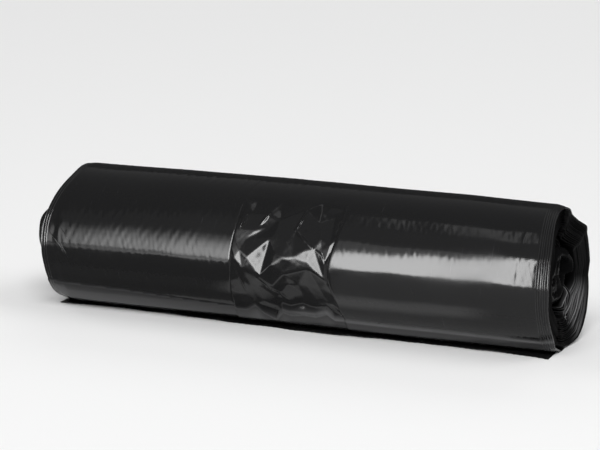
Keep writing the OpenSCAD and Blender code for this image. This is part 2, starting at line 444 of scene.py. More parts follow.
def firm_half(s, side):
    """A firm half as rows of (distance along, radius) round the roll: up the end wall beside the waist,
    over a shoulder that is a quarter of an ellipse, along the surface, down the fold edges and into the
    rim. The right half's surface dips at its crease, by a narrow bell, and the left one's near its rim.
    Also gives each row's painted highlight, on the fold edges."""
    a = around_roll()
    edge = shoulder_at(s, side, a) + ripples(0, a, 20 + side, 6, (40, 90), (1, 7), 0.3)
    rim = side * rim_at(s, side, a)
    run, fall = (2.6, 1.25) if side > 0 else (2.2, 1.3)
    fall = fall * held_down(a)
    top = half_radius(s, edge + side * run, a, side)
    rows = [(edge + side * 7, 12.0), (edge + side * 5.0, top - 8), (edge + side * 0.4, top - 4.5)]
    for t in np.linspace(0, 1, SHOULDER_ROWS) * np.pi / 2:
        rows.append((edge + side * run * (1 - math.cos(t)), top - fall * (1 - math.sin(t))))
    count, lap = (s["right_folds"], s["fold_lap"]) if side > 0 else (s["left_folds"], s["left_lap"])
    first_fold = rim - side * (0.4 + (count - 1) * lap)
    crease = s["half"] - s["crease_from_rim"] + 1.4 - 1.2 * np.exp(-(((np.degrees(a) - 165) / 35) ** 2))
    line = crease + ripples(0, a, 31, 5, (40, 90), (1, 5), 0.3)
    start = edge + side * run
    stop = first_fold - side * 0.9
    for q in np.linspace(0, 1, SURFACE_ROWS)[1:]:
        x = start + (stop - start) * q
        r = half_radius(s, x, a, side)
        if side > 0:
            r = r - 0.07 * np.exp(-((x - line) / 0.55) ** 2) - 0.04 * ease((x - line - 10.4) / 1.4)
        else:
            r = r - 0.3 * ease((-x - s["half"] + 9) / 4)
        rows.append((x, r))
    less = 0.04 if side > 0 else 0.3
    folds = fold_rows(s, side, first_fold, count, lap, a, lambda x: half_radius(s, x, a, side) - less)
    x_rim, r_rim = folds[-1]
    inner = [(x_rim + side * dx, r_rim - dr) for dx, dr in RIM_LIP]
    inner += [(x_rim + side * dx, r) for dx, r in RIM_WALL]
    rows += folds + inner
    x = np.array([np.broadcast_to(row[0], a.shape) for row in rows])
    r = np.array([np.broadcast_to(row[1], a.shape) for row in rows])
    row_glint = np.zeros(len(rows))
    row_glint[-len(inner) - len(folds):-len(inner)] = np.tile(FOLD_GLINT, count)
    return settle(on_roll(s, x, r, a[None, :]), FIRM_REST * MM), row_glint


# Small creases that stand up from the film: each is a run of (distance along, angle)
CREASES = (
    ((-173.4, 168), (-168.5, 174.5), (-164.2, 179.8), (-160.5, 189), (-156.6, 200)),
    ((-164.8, 175.5), (-161.0, 184), (-157.4, 193)),
    ((-164.8, 164.5), (-161.5, 169), (-158.6, 174)),
    ((-151.3, 193), (-149.7, 200.5)),
    ((84, 183), (86.5, 190), (84.5, 197)),
    ((64, 216), (61.5, 222), (57, 226)),
)


def crease_line(s, run, width=0.30, height=0.09, steps=70):
    """A thin raised fold that lies on the film: a flat ellipse carried along straight runs between the
    points, at right angles to them, and thinner towards both ends by the root of a sine."""
    run = np.array(run, float)
    knots = np.linspace(0, 1, len(run))
    t = np.linspace(0, 1, steps)
    x, deg = np.interp(t, knots, run[:, 0]), np.interp(t, knots, run[:, 1])
    side = 1 if x.mean() > 0 else -1
    a = np.radians(deg)
    taper = np.sin(np.pi * np.clip(t, 0.02, 0.98)) ** 0.5
    dx, da = np.gradient(x), np.gradient(a) * s["radius"]
    size = np.hypot(dx, da)
    across_x, across_a = -da / size, dx / size
    q = np.linspace(0, 2 * np.pi, 10, endpoint=False)
    w = width * taper[:, None] * np.cos(q)
    h = height * taper[:, None] * np.sin(q)
    px = x[:, None] + across_x[:, None] * w
    pa = a[:, None] + across_a[:, None] * w / s["radius"]
    r = half_radius(s, px, pa, side) + h
    return on_roll(s, px, r, pa)


# The waist

# Corners of the folds on the side that faces the camera: distance along, angle round, depth
FOLDS = {
    "a1": (-15, 157, 0.6), "a2": (-29, 173, 2.0), "a3": (-20, 187, 1.0), "b1": (-4, 171, 2.0),
    "c1": (-10, 168, 1.6), "c2": (-12, 155, 1.6), "d1": (-32, 160, 2.6), "d2": (-26, 151, 1.4),
    "d3": (-17, 147, 1.6), "e1": (-23, 144, 2.4), "e2": (-19, 137, 0.9), "g1": (-37.5, 164, 1.2),
    "g2": (-38.5, 175, 1.2), "g3": (-32, 183, 2.6), "g4": (-35, 168, 2.2), "h1": (7, 130, 0.7),
    "h2": (2, 148, 1.8), "h3": (17, 162, 0.9), "h4": (11, 149, 2.2), "i1": (3, 170, 1.2),
    "i2": (11, 163, 1.0), "i3": (14, 167, 2.0), "i4": (25, 185, 1.2), "i5": (13, 172, 2.2),
    "j1": (21, 153, 1.0), "j2": (26, 172, 2.0), "k1": (-1, 172, 1.4), "l1": (29, 157, 1.6),
    "m1": (-3, 184, 2.8), "m2": (11, 196, 1.2), "m3": (-4, 213, 1.0), "m4": (-3, 197, 3.0),
    "n1": (-28, 198, 1.0), "n2": (-22, 197, 2.2), "n3": (-21, 212, 1.0), "n4": (-25, 216, 2.6),
    "o1": (-35, 190, 1.0), "o2": (-31, 206, 2.4), "o3": (-36, 208, 1.0), "p1": (26, 209, 1.0),
    "p2": (4, 196, 1.2), "p3": (14, 178, 3.0), "q1": (-12, 196, 0.8), "q2": (-12, 210, 2.4),
    "q3": (6, 206, 2.8), "q4": (16, 210, 1.2), "q5": (20, 196, 2.8), "r1": (-31, 230, 1.2),
    "r2": (-18, 228, 2.6), "r3": (-11, 222, 1.0), "r4": (4, 225, 2.4), "r5": (17, 228, 1.4),
    "r6": (27, 228, 2.4), "r7": (-39, 224, 1.4), "t1": (-30, 137, 0.9), "t2": (-10, 140, 0.8),
    "t3": (-3, 158, 0.8), "t4": (-28, 120, 0.9), "t5": (-12, 122, 1.0), "t6": (2, 118, 0.6),
    "t7": (16, 122, 0.8), "t8": (17, 140, 1.2), "t9": (27, 134, 1.0), "u1": (29, 190, 1.4),
    "u2": (-12, 178, 2.2), "u3": (-8, 106, 0.6), "u4": (24, 108, 0.7), "u5": (-26, 104, 0.9),
    "u6": (-10, 236, 1.6), "u7": (10, 238, 1.0), "u8": (-27, 241, 2.2), "u9": (23, 242, 1.6),
}
# Facets whose facing is set, by their corners: angle faced, lean towards the right, weight
FACETS = (
    (("a1", "a2", "a3"), 167.0, 0.05, 8), (("a1", "u2", "a3"), 160.5, 0.05, 4),
    (("a1", "c1", "u2"), 157.4, 0.01, 3), (("a1", "c2", "c1"), 166.0, 0.05, 3),
    (("c2", "t3", "c1"), 148.0, 0.0, 2), (("c1", "t3", "b1"), 146.0, 0.0, 2),
    (("c1", "b1", "u2"), 158.2, 0.0, 2), (("u2", "b1", "m1"), 188.0, 0.0, 2),
    (("b1", "k1", "m1"), 186.0, 0.0, 2), (("d1", "d2", "d3"), 158.8, 0.06, 3),
    (("d1", "d3", "a1"), 146.0, 0.0, 3), (("d1", "a1", "a2"), 147.0, 0.0, 3),
    (("e1", "e2", "d3"), 160.0, 0.02, 3), (("d2", "e1", "d3"), 147.0, 0.0, 2),
    (("g1", "g2", "g4"), 165.0, 0.0, 3), (("g2", "g3", "g4"), 163.5, 0.02, 3),
    (("g4", "g3", "a2"), 186.0, 0.0, 2), (("g1", "g4", "d1"), 146.0, 0.0, 1),
    (("d1", "g4", "a2"), 150.0, 0.0, 1), (("h1", "h2", "h4"), 165.0, 0.03, 8),
    (("h2", "h3", "h4"), 165.5, 0.04, 8), (("t3", "h2", "i1"), 148.0, 0.0, 3),
    (("i1", "h2", "i2"), 149.0, 0.0, 3), (("h2", "i2", "h3"), 149.0, 0.0, 3),
    (("h4", "h3", "j1"), 146.0, 0.0, 12), (("h1", "h4", "t8"), 140.0, 0.0, 8),
    (("h4", "j1", "t8"), 143.0, 0.0, 12), (("t8", "j1", "t9"), 140.0, 0.0, 10),
    (("j1", "l1", "t9"), 142.0, 0.0, 8), (("i1", "i2", "i5"), 166.0, 0.0, 6),
    (("i2", "i3", "i5"), 160.0, 0.0, 3), (("i3", "h3", "i4"), 168.0, 0.0, 6),
    (("i3", "i5", "i4"), 167.0, 0.0, 6), (("i5", "p3", "i4"), 188.0, 0.0, 3),
    (("i1", "i5", "p3"), 187.0, 0.0, 3), (("h3", "j1", "j2"), 157.8, -0.02, 2),
    (("h3", "j2", "i4"), 187.0, 0.0, 3), (("j1", "l1", "j2"), 147.0, 0.0, 2),
    (("k1", "i1", "p3"), 186.0, 0.0, 2), (("b1", "i1", "k1"), 168.0, 0.0, 2),
    (("t3", "i1", "b1"), 152.0, 0.0, 2), (("n1", "n2", "n3"), 203.5, 0.0, 5),
    (("n1", "n3", "n4"), 204.0, 0.0, 3), (("o1", "o2", "o3"), 203.0, 0.0, 4),
    (("m1", "m4", "p2"), 225.0, 0.0, 4), (("m1", "p2", "p3"), 222.0, 0.1, 3),
    (("q2", "m4", "m3"), 203.0, 0.0, 2), (("p2", "p3", "m2"), 190.0, 0.0, 2),
    (("m4", "p2", "q3"), 218.0, 0.0, 2), (("m4", "q3", "m3"), 203.5, 0.0, 2),
    (("a3", "u2", "q1"), 190.0, 0.0, 2), (("u2", "m1", "q1"), 191.0, 0.0, 2),
    (("q1", "m4", "q2"), 188.0, 0.0, 1), (("p3", "q5", "m2"), 216.0, 0.0, 2),
    (("p3", "i4", "q5"), 191.0, 0.0, 1),
)
# Facets with no set facing that lie from one angle to another face a third, past the bright places that
# they would mirror
DARK_FACINGS = (
    (134, 151, 146.0), (151, 166, 148.0), (166, 183, 187.0), (183, 195, 189.0), (195, 212, 217.0),
)
# The stretch round the roll whose corners are set above, in degrees
FRONT_SPAN = (98, 246)
# Weights of the facets with no set facing, of the loose corners' own places and of the held corners
PLAIN_WEIGHT = 0.6
OWN_PLACE = 0.22
HELD_PLACE = 6.0
# Area past which a larger facet weighs no more
FULL_AREA = 120.0
# How far the corners may lie inside and outside the firm surface
DEEPEST = 7.0
HIGHEST = 0.9


# Sharp folds that stand up from the loose film: a run of (distance along, angle), height and half width
RIDGES = (
    (((2.0, 147.5), (9.5, 155.5), (17.0, 162.0)), 0.60, 0.75),
    (((7.2, 130.5), (5.2, 138.0), (2.0, 147.5)), 0.55, 0.8),
    (((-24.0, 146.0), (-20.5, 140.5), (-18.6, 137.0)), 0.5, 0.8),
    (((-37.0, 149.5), (-35.4, 144.0), (-34.2, 138.5)), 0.6, 0.8),
    (((29.4, 148.0), (30.6, 142.0), (31.8, 136.5)), 0.6, 0.8),
    (((17.5, 162.5), (22.0, 165.5), (25.5, 173.0)), 0.35, 0.6),
    (((-39.0, 178.0), (-34.0, 192.0), (-32.0, 203.0)), 0.4, 0.7),
    (((-22.0, 190.0), (-11.0, 203.0), (-4.0, 214.0)), 0.4, 0.8),
)


def raised_folds(s, x, deg):
    """Height that the sharp folds add: a bell across the distance to each run, lower towards the run's
    ends by the root of a sine."""
    total = 0.0 * x
    arc = math.radians(1) * s["radius"]
    reach, span = 16, 24
    for run, height, width in RIDGES:
        middle = np.mean(run, axis=0)
        near = (abs(x - middle[0]) < reach) & (abs(deg - middle[1]) < span)
        px, pu = x[near], deg[near] * arc
        best = np.full(px.shape, 99.0)
        share = np.zeros(px.shape)
        for k, ((x0, a0), (x1, a1)) in enumerate(zip(run, run[1:])):
            dx, du = x1 - x0, (a1 - a0) * arc
            t = np.clip(((px - x0) * dx + (pu - a0 * arc) * du) / (dx * dx + du * du), 0, 1)
            away = np.hypot(px - x0 - t * dx, pu - a0 * arc - t * du)
            share = np.where(away < best, (k + t) / (len(run) - 1), share)
            best = np.minimum(best, away)
        lower = np.sqrt(np.sin(np.pi * np.clip(share, 0.03, 0.97)))
        total[near] += height * lower * np.exp(-((best / width) ** 2))
    return total


def fold_corners(s):
    """Corners of the waist's folds: those of the front as they are, and seeded ones for the rest, on a
    staggered grid that is shaken. Each is (distance along, angle in degrees, depth)."""
    rng = np.random.default_rng(17)
    left, right = s["waist_left"], s["waist_right"]
    corners = list(FOLDS.values())
    row_pitch = 12.5
    for row, angle in enumerate(np.arange(FRONT_SPAN[1] + 8, FRONT_SPAN[0] + 360 - 4, row_pitch)):
        count = 6 + row % 2
        for k in range(count):
            x = left + (right - left) * (k + 0.5) / count + rng.uniform(-3.4, 3.4)
            depth = 0.4 + 3.4 * rng.random() ** 1.3
            corners.append((x, angle + rng.uniform(-4, 4), depth))
    return np.array(corners)


def film_edges(s, a):
    """Where the loose film is held at the left and at the right, just under the shoulders."""
    return shoulder_at(s, -1, a) - 0.5, shoulder_at(s, 1, a) + 0.5


def across_waist(s, x, a):
    """Share of the way across the waist, from its left edge to its right one."""
    left, right = film_edges(s, a)
    return (x - left) / (right - left)


def fold_net(s):
    """Joins the corners into triangles over the unrolled film, which closes on itself at 0 and 360
    degrees. The film is held along both shoulders, and drawn in along the underside by a bell. Gives
    the corners' places round the roll's axis, their places on the unrolled film, there three times
    over, and the triangles."""
    rng = np.random.default_rng(29)
    net = fold_corners(s)
    a = np.radians(net[:, 1] % 360)
    share = np.clip(across_waist(s, net[:, 0], a), 0.04, 0.96)
    held = np.radians(np.arange(0, 360, 6.0))
    for edge in (0.0, 1.0):
        share = np.append(share, np.full(len(held), edge))
        a = np.append(a, (held + rng.uniform(-0.02, 0.02, len(held))) % (2 * np.pi))
    edge_depth = 1.5 * held_down(np.tile(held, 2)) - 0.05 + rng.uniform(-0.25, 0.35, 2 * len(held)) * 0.6
    depth = np.append(net[:, 2], edge_depth)
    left, right = film_edges(s, a)
    x = left + (right - left) * share
    deg = np.degrees(a)
    lift = 3.4 * np.exp(-(((deg - 262) / 26) ** 2)) * np.sin(np.pi * share) ** 0.8
    width = s["waist_right"] - s["waist_left"]
    girth = 2 * np.pi * s["radius"]
    flat = np.stack([share * width, a * s["radius"]], 1)
    copies = np.vstack([flat, flat + (0, girth), flat - (0, girth)])
    names = list(FOLDS)
    sides = [(names.index(f[k]), names.index(f[k - 1])) for f, *_ in FACETS for k in range(3)]
    joined = delaunay_2d_cdt([Vector(p) for p in copies], sides, [], 0, 1e-5)
    faces, origin = joined[2], joined[3]
    source = np.array([o[0] for o in origin])
    tris = np.array([f for f in faces if len(f) == 3])
    tris = source[tris]
    middle = copies[tris].mean(1)[:, 1]
    tris = tris[(middle >= 0) & (middle < girth)]
    highest_folds = s["radius"] + 0.6
    r = settle_facets(s, x, highest_folds - lift - depth, tris, copies, len(net))
    place = np.stack([x, r * np.cos(a), r * np.sin(a)], 1)
    return place, copies / (width, s["radius"]), tris


def settle_facets(s, x, r, tris, copies, loose):
    """Radius of each corner at which the set facets face as they should. For a facet at angle t that
    faces f with a lean q, the radius falls by tan(f - t) for each step round the roll and by q / cos(f
    - t) along it. Those slopes, and a light pull of the loose corners to their own radius r, are solved
    by least squares. The corners after the loose ones are held at the shoulders."""
    names = list(FOLDS)
    wanted = {frozenset(names.index(n) for n in f[0]): f[1:] for f in FACETS}
    count = len(x)
    rows, goal = [], []
    for tri in tris:
        who = tri % count
        px = x[who]
        pu = copies[tri, 1]
        t = pu.mean() / s["radius"]
        system = np.linalg.inv(np.stack([np.ones(3), px, pu], 1))
        slope_x, slope_u = system[1], system[2]
        deg = math.degrees(t)
        if frozenset(who.tolist()) in wanted:
            facing, lean, weight = wanted[frozenset(who.tolist())]
        elif FRONT_SPAN[0] < deg < FRONT_SPAN[1]:
            facing, lean, weight = deg, 0.0, PLAIN_WEIGHT
            for low, high, instead in DARK_FACINGS:
                if low <= deg < high:
                    facing = instead
        else:
            continue
        turn = math.radians(facing) - t
        area = abs((px[1] - px[0]) * (pu[2] - pu[0]) - (px[2] - px[0]) * (pu[1] - pu[0])) / 2
        weight = weight * math.sqrt(min(area, FULL_AREA))
        for slope, value in ((slope_u, -math.tan(turn)), (slope_x, -lean / math.cos(turn))):
            row = np.zeros(count)
            row[who] = slope * weight
            rows.append(row)
            goal.append(value * weight)
    hold = np.full(count, OWN_PLACE)
    hold[loose:] = HELD_PLACE
    rows.append(np.diag(hold))
    matrix = np.vstack(rows)
    wished = np.concatenate([np.array(goal), hold * r])
    solved = np.linalg.lstsq(matrix, wished, rcond=None)[0]
    return np.clip(solved, s["radius"] - DEEPEST, s["radius"] + HIGHEST)


def waist_grid(s, rows=190, cols=448):
    """The crumpled film: flat triangles between the fold corners, taken onto a fine grid over the
    unrolled film. Each grid point in a triangle takes the blend of its corners by area shares."""
    place, flat, tris = fold_net(s)
    count = len(place)
    across = np.linspace(0, 1, rows)
    step = 2 * np.pi / cols
    grid = np.zeros((rows, cols, 3))
    for tri in tris:
        p = flat[tri]
        c = place[tri % count]
        low, high = p.min(0), p.max(0)
        i = np.nonzero((across >= low[0] - 1e-6) & (across <= high[0] + 1e-6))[0]
        j = np.arange(math.ceil(low[1] / step - 1e-6), math.floor(high[1] / step + 1e-6) + 1)
        if not len(i) or not len(j):
            continue
        px, pa = np.meshgrid(across[i], j * step, indexing="ij")
        d = (p[1, 1] - p[2, 1]) * (p[0, 0] - p[2, 0]) + (p[2, 0] - p[1, 0]) * (p[0, 1] - p[2, 1])
        u = ((p[1, 1] - p[2, 1]) * (px - p[2, 0]) + (p[2, 0] - p[1, 0]) * (pa - p[2, 1])) / d
        v = ((p[2, 1] - p[0, 1]) * (px - p[2, 0]) + (p[0, 0] - p[2, 0]) * (pa - p[2, 1])) / d
        w = 1 - u - v
        inside = (u > -1e-6) & (v > -1e-6) & (w > -1e-6)
        gi, gj = np.nonzero(inside)
        u, v, w = u[inside][:, None], v[inside][:, None], w[inside][:, None]
        grid[i[gi], j[gj] % cols] = u * c[0] + v * c[1] + w * c[2]
    return grid


def smooth_grid(grid, passes):
    """Moves each point halfway to the mean of its four neighbours, the first and last rows held."""
    for _ in range(passes):
        across = np.roll(grid, 1, 0) + np.roll(grid, -1, 0)
        along = np.roll(grid, 1, 1) + np.roll(grid, -1, 1)
        new = 0.5 * grid + 0.5 * (across + along) / 4
        new[0], new[-1] = grid[0], grid[-1]
        grid = new
    return grid


# The loose film's edges under the shoulders: distance further along, and share of their radius
WAIST_TUCK = ((1.6, 0.97), (5.5, 0.90), (6.5, 0.4))
# Height of the flat spot that the waist rests on
WAIST_REST = 0.6


def waist_film(s):
    """The waist's outer face from the fold net. Over the top it is blended into the level of the firm
    halves, which sags across it by a sine. Seeded ripples, the sharp folds and the hanging film are
    added, and its edges are carried in under the shoulders."""
    grid = smooth_grid(waist_grid(s), 6)
    a = np.arctan2(grid[..., 2], grid[..., 1])
    r = np.hypot(grid[..., 1], grid[..., 2])
    around = a % (2 * np.pi)
    deg = np.degrees(around)
    calm = hill(deg, 30, 130, 26, 16)
    share = across_waist(s, grid[..., 0], around)
    left, right = half_radius(s, grid[..., 0], around, -1), half_radius(s, grid[..., 0], around, 1)
    level_sag = 0.35 * np.sin(np.pi * np.clip(share, 0, 1)) ** 2
    level = left + (right - left) * ease(share) - 0.05 - level_sag
    r = r + calm * (level - r)
    small = (ripples(grid[..., 0], a, 51, 20, (9, 30), (10, 34), 0.035)
             + ripples(grid[..., 0], a, 53, 20, (4, 12), (20, 60), 0.010)) * (1 - 0.8 * calm)
    small = small + raised_folds(s, grid[..., 0], deg)
    r = hanging_film(s, grid[..., 0], around, r + small, s["radius"] + 0.3, rise=0.15)
    points = on_roll(s, grid[..., 0], r, a)
    axis = np.array([0, 0, s["axis_z"]]) * MM

    def tucked(row, side):
        """The rings that carry one edge in: each moved along and shrunk towards the roll's axis."""
        return np.array([
            axis + (row - axis) * (1, shrink, shrink) + np.array([side * step, 0, 0]) * MM
            for step, shrink in WAIST_TUCK])

    edges = tucked(points[0], -1)[::-1], tucked(points[-1], 1)
    return settle(np.concatenate([edges[0], points, edges[1]]), WAIST_REST * MM)


# The turns at the ends

# The section of a turn, round from its blunt edge: share of its depth, share of its thickness
TURN_SECTION = (
    (0.0, 0.0), (0.06, 0.5), (0.35, 0.5), (1.0, 0.5), (1.0, -0.5), (0.35, -0.5), (0.06, -0.5),
)


def ribbon(s, side, a, radius, x_edge, depth, thick, centre):
    """A strip of film wound inwards. At each angle a its section is a thin slab with a blunt edge, from
    x_edge to depth behind it, that flares out a little at that edge. centre moves it off the roll's
    axis."""
    ring_x, ring_r = np.array(TURN_SECTION).T
    x = x_edge[:, None] - side * depth * ring_x[None, :]
    flare = 0.3 * np.exp(-ring_x * 18)[None, :]
    r = radius[:, None] + thick * ring_r[None, :] + flare
    return np.stack([
        x + s["shift"],
        centre[:, 0:1] + r * np.cos(a)[:, None],
        s["axis_z"] + centre[:, 1:2] + r * np.sin(a)[:, None]], -1) * MM


def right_ring(s):
    """The outer turns in the right end: a spiral whose radius falls evenly, pressed together behind the
    rim, and stepping further in along the roll with each turn at the lower back."""
    turns = 15
    t = np.arange(RIGHT_STEPS * turns + 1) / RIGHT_STEPS
    a = 2 * np.pi * t + 0.7
    deg = np.degrees(a) % 360
    inset, pitch = 2.9, 1.22
    radius = s["radius"] - inset - pitch * t
    radius = radius + 0.25 * ripples(t * 9, a, 101, 6, (30, 80), (1, 4), 1.0)
    open_back = hill(deg, 268, 345, 25, 30)
    slide = 0.5 + 0.10 * t + open_back * (0.35 * t) + 2.0 * ease((t - 9) / 6)
    jag = 0.16 * ripples(t * 11, a, 103, 9, (9, 40), (1, 7), 1.0) * (1 + 1.2 * open_back)
    x_edge = rim_at(s, 1, a) - slide + jag
    centre = np.zeros((len(t), 2))
    return ribbon(s, 1, a, radius, x_edge, depth=15.0, thick=0.34, centre=centre)


def paint_edge_glints(piece, s):
    """Paints highlights on the edges of the right end's turns: strongly where they have sprung apart,
    at the lower back, and more on some turns than on others, by the square of a sine that wanders from
    turn to turn."""
    a = vertex_places(piece, s)[2]
    index = np.arange(len(a))
    section = len(TURN_SECTION)
    point = index % section
    turn = index // section / RIGHT_STEPS
    edge = np.where(point == 0, 1.0, 0.12 * np.isin(point, (1, section - 1)))
    level = 0.04 + 1.3 * hill(np.degrees(a), 275, 352, 30, 35)
    level = level * (0.25 + 0.75 * np.sin(5.3 * turn + 3 * np.sin(turn)) ** 2)
    write_painted_light(piece, np.minimum(level, 1.0) * edge)


def fan_turns(s):
    """A few turns between the ring and the bundle of the right end: a spiral that widens and comes out
    towards the rim at the lower back, where its turns have sprung apart, with seeded ripples."""
    turns = 6
    t = np.arange(RIGHT_STEPS * turns + 1) / RIGHT_STEPS
    a = 2 * np.pi * t + 0.2
    deg = np.degrees(a) % 360
    out = hill(deg, 262, 350, 30, 30)
    widest, pitch = 27.4, 1.5
    radius = widest - pitch * t + out * (1.4 + 0.2 * t) - 1.2 * (1 - out)
    radius = radius + 0.35 * ripples(t * 8, a, 107, 6, (12, 40), (1, 5), 1.0)
    jag = 0.5 * ripples(t * 7, a, 105, 7, (9, 40), (1, 6), 1.0)
    x_edge = s["half"] - 11.5 + 8.5 * out - 0.5 * t + jag
    centre = np.tile([[1.5, -2.0]], (len(t), 1))
    return ribbon(s, 1, a, radius, x_edge, depth=9.0, thick=0.7, centre=centre)


def left_turns(s):
    """The turns that have slid out of the left end: a spiral whose radius falls evenly, slid out by the
    fourth power of the share of the way in, so that the outer turns hardly move and the inner ones
    stand out. The lean of the rim dies away inwards."""
    turns = 38
    t = np.arange(LEFT_STEPS * turns + 1) / LEFT_STEPS
    a = 2 * np.pi * t + 0.7
    inset, pitch, bundle_r, hollow_r = 1.9, 1.11, 18, 11
    radius = s["radius"] - inset - pitch * t
    share = np.clip((s["radius"] - radius) / (s["radius"] - bundle_r), 0, 1)
    slide = s["telescope"] * share ** 4 - 2.0 * ease((hollow_r - radius) / 8)
    radius = radius + 0.2 * ripples(t * 9, a, 111, 6, (30, 80), (1, 5), 1.0)
    jag = 0.3 * ripples(t * 11, a, 113, 9, (9, 40), (1, 7), 1.0)
    even = s["half"] - 2.5
    lean = (rim_at(s, -1, a) - even) * (1 - 0.6 * share)
    x_edge = -(even + lean) - 1.9 * share - slide + 0.3 + jag
    centre = np.maximum(share - 0.5, 0)[:, None] * np.array([[1.5, -1.0]])
    return ribbon(s, -1, a, radius, x_edge, depth=17.0, thick=0.36, centre=centre)


def bundle(s):
    """The gathered film at the centre of the right end: a face over a disc, with rho from its middle to
    its side and a round it. It stands out in a lip, furthest at the upper back like a bent hook, is
    rounded off at the side by a quarter circle and hollow inside the lip, with a pit, a bell in both
    directions. Folds, sharp waves along a spiral, run in to the middle. Two more rows carry the side
    back."""
    face_rows, face_x, side_r, rounding = 60, 168.0, 20.0, 0.28
    rho = np.concatenate([np.linspace(0.03, 1, face_rows), [1.0, 1.0]])[:, None]
    a = around_roll(240)[None, :]
    deg = np.degrees(a) % 360
    side_drop = np.concatenate([np.zeros(face_rows), [6.0, 14.0]])[:, None]
    back = hill(deg, 348, 92, 14, 30)
    top = hill(deg, 60, 190, 30, 40)
    lip = face_x + 5.6 * back + 2.6 * top
    past = np.clip(rho - (1 - rounding), 0, rounding) / rounding
    round_off = 4.0 * (1 - np.sqrt(np.clip(1 - past ** 2, 0, 1)))
    hollow = (4.5 * back + 2.0) * ease((0.82 - rho) / 0.3)
    pit = 7.0 * np.exp(-(((deg - 40 + 180) % 360 - 180) / 40) ** 2 - ((rho - 0.5) / 0.17) ** 2)
    swirl = a + 2.2 * rho
    folds = 1.1 * np.abs(np.sin(1.5 * swirl + 0.6)) + 0.7 * np.abs(np.sin(3.5 * swirl - 2 * rho + 1.0))
    where = np.exp(-(((deg - 115) / 30) ** 2) - ((rho - 0.55) / 0.12) ** 2)
    crumple = 1.05 * np.abs(np.sin(9 * a + 14 * rho)) * where
    folds = folds * np.sin(np.pi * np.minimum(rho * 1.05, 1))
    x = lip - round_off - hollow - pit + folds + crumple - side_drop
    r = side_r * rho * (1 + 0.05 * np.cos(2 * a + 1) + 0.03 * np.sin(5 * a))
    return np.stack([x + s["shift"], -0.5 + r * np.cos(a), s["axis_z"] + 0.5 + r * np.sin(a)], -1) * MM


# Crumpled bits of film in the right end: place along the web and from the axis, half sizes, seed
WADS = (
    ("wad_low", (171.5, 6.0, -32.0), (3.0, 4.5, 7.0), 5),
    ("wad_rim", (172.5, 3.0, -41.0), (2.5, 7.0, 3.2), 8),
)


def crumpled_wad(s, place, size, seed):
    """A small crumpled wad of film: an ellipsoid whose radius is folded in by seeded waves |sin * sin|.
    Also gives how near each point is to a sharp fold, by a bell, for some of the waves, where a
    highlight is painted."""
    lat = np.linspace(0.06, np.pi - 0.06, 34)[:, None]
    lon = around_roll(64)[None, :]
    rng = np.random.default_rng(seed)
    r, ridge = 1.0, 0.0
    for _ in range(7):
        k, m, p, q = rng.integers(1, 6), rng.integers(1, 6), rng.uniform(0, 6.3), rng.uniform(0, 6.3)
        wave = np.sin(k * lon + p) * np.sin(m * lat + q)
        r = r - 0.13 * np.abs(wave)
        ridge = np.maximum(ridge, 0.9 * np.exp(-((wave / 0.07) ** 2)) * (rng.uniform() > 0.45))
    unit = np.stack([np.cos(lat) + 0 * lon, np.sin(lat) * np.cos(lon), np.sin(lat) * np.sin(lon)], -1)
    middle = np.array([place[0] + s["shift"], place[1], s["axis_z"] + place[2]])
    return (middle + unit * r[..., None] * np.array(size)) * MM, ridge


# Front edge of the open end on the floor: distance along and forward of the roll's axis
TAIL_FRONT = (
    (-176.5, 25.6), (-167.8, 24.9), (-136, 20.4), (-110, 23.7), (-72, 26.1), (-13, 28.9), (16, 31.4),
    (70.6, 27.5), (126, 29.1), (167, 31.1), (173, 33.6),
)


def tail_film(s):
    """The open end of the last bag on the floor: a thin slab whose front edge is torn along a
    perforation. That edge is a smoothed run of points with seeded waves and small teeth, bells of
    uneven height, and curls up a little."""
    count = 1100
    line = np.array(TAIL_FRONT)
    x = np.linspace(line[0, 0], line[-1, 0], count)
    front = np.interp(x, line[:, 0], line[:, 1])
    front = np.convolve(np.pad(front, 20, mode="edge"), np.ones(41) / 41, mode="valid")
    front = front + ripples(x, 0, 71, 8, (14, 60), (0, 0), 0.25)
    tooth_pitch = 4.1
    phase = x / tooth_pitch + 0.25 * np.sin(x / 17.0)
    tooth_height = 0.35 + 0.65 * np.abs(np.sin(np.floor(phase) * 2.4))
    tooth = np.exp(-(((phase % 1) - 0.5) / 0.13) ** 2) * tooth_height
    front = front + 0.75 * tooth - 0.15
    curl = 0.2 + 0.25 * ripples(x, 0, 73, 6, (30, 120), (0, 0), 1.0)
    across = np.array([0, 0.02, 0.12, 0.3, 0.6, 1.0])
    rise = np.array([1.0, 0.9, 0.5, 0.2, 0.0, 0.0])
    back_edge = 6.0
    y = -front[:, None] + (back_edge + front)[:, None] * across[None, :]
    z = 0.08 + np.maximum(curl, 0)[:, None] * rise[None, :]
    xs = np.broadcast_to(x[:, None], y.shape) + s["shift"]
    thick = 0.22
    top = np.stack([xs, y, z + thick], -1)
    low = np.stack([xs, y, z], -1)[:, ::-1]
    return np.concatenate([top, low], 1) * MM


# Materials

def node(tree, kind, **values):
    """A new node of that kind in the tree, with its settings."""
    made = tree.nodes.new(kind)
    for key, value in values.items():
        setattr(made, key, value)
    return made


